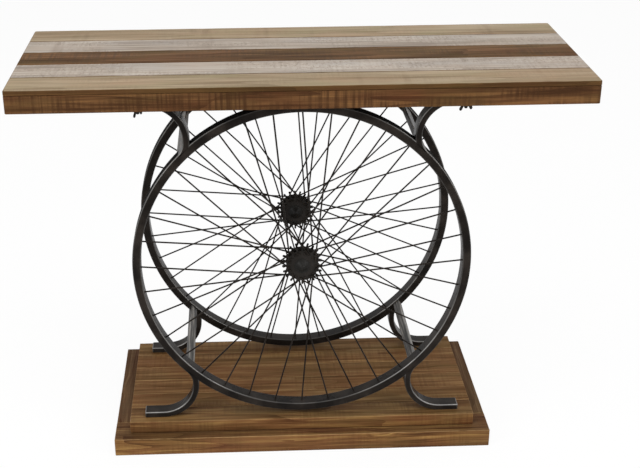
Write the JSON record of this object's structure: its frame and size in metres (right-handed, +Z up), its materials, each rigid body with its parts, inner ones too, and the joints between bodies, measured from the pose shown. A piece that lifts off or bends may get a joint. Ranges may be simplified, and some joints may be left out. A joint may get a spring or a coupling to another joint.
{
  "type": "console table",
  "caption": "Rustic console table: a plank top carried by upright spoked wheels with bent flat-bar legs, standing on a stepped timber base.",
  "frame": {"origin": "centre of the base's underside, on the floor", "axes": "+X along the table to the right, +Y from its front to its back, +Z up"},
  "size_m": [0.99, 0.378, 0.732],
  "materials": {
    "tan_wood": "oiled, rough sawn",
    "whitewashed_wood": "white-washed, rough sawn",
    "dark_wood": "dark stained, rough sawn",
    "apron_wood": "brown stained, rough sawn",
    "base_wood": "brown stained",
    "raw_wood": "unfinished",
    "black_iron": "satin black",
    "grey_iron": "satin dark grey",
    "black_wire": "satin black",
    "fastener_steel": "black oxide"
  },
  "bodies": {
    "root": {"base_batten": "raw_wood", "base_front_rail": "base_wood", "base_left_rail": "base_wood", "base_rear_rail": "base_wood", "base_right_rail": "base_wood", "foot_bolts": "fastener_steel", "front_apron": "apron_wood", "front_hub_axle": "black_iron", "front_hub_barrel": "black_iron", "front_rim": "black_iron", "front_wheel_front_leading_spokes": "black_wire", "front_wheel_front_sprocket": "black_iron", "front_wheel_front_trailing_spokes": "black_wire", "front_wheel_rear_leading_spokes": "black_wire", "front_wheel_rear_sprocket": "black_iron", "front_wheel_rear_trailing_spokes": "black_wire", "hub_caps": "black_iron", "left_apron": "apron_wood", "left_cleat": "raw_wood", "lower_front_left_leg": "black_iron", "lower_front_right_leg": "black_iron", "lower_left_crossbar": "grey_iron", "lower_rear_left_leg": "black_iron", "lower_rear_right_leg": "black_iron", "lower_right_crossbar": "grey_iron", "middle_cleat": "raw_wood", "platform_plank_1": "base_wood", "platform_plank_2": "base_wood", "platform_plank_3": "base_wood", "platform_plank_4": "base_wood", "platform_plank_5": "base_wood", "platform_plank_6": "base_wood", "rear_apron": "apron_wood", "rear_hub_axle": "black_iron", "rear_hub_barrel": "black_iron", "rear_rim": "black_iron", "rear_wheel_front_leading_spokes": "black_wire", "rear_wheel_front_sprocket": "black_iron", "rear_wheel_front_trailing_spokes": "black_wire", "rear_wheel_rear_leading_spokes": "black_wire", "rear_wheel_rear_sprocket": "black_iron", "rear_wheel_rear_trailing_spokes": "black_wire", "right_apron": "apron_wood", "right_cleat": "raw_wood", "top_plank_1": "tan_wood", "top_plank_2": "whitewashed_wood", "top_plank_3": "dark_wood", "top_plank_4": "whitewashed_wood", "top_plank_5": "tan_wood", "top_studs": "fastener_steel", "top_washers": "fastener_steel", "upper_front_left_leg": "black_iron", "upper_front_right_leg": "black_iron", "upper_left_crossbar": "grey_iron", "upper_rear_left_leg": "black_iron", "upper_rear_right_leg": "black_iron", "upper_right_crossbar": "grey_iron", "wing_nuts": "fastener_steel"}
  },
  "joints": []
}
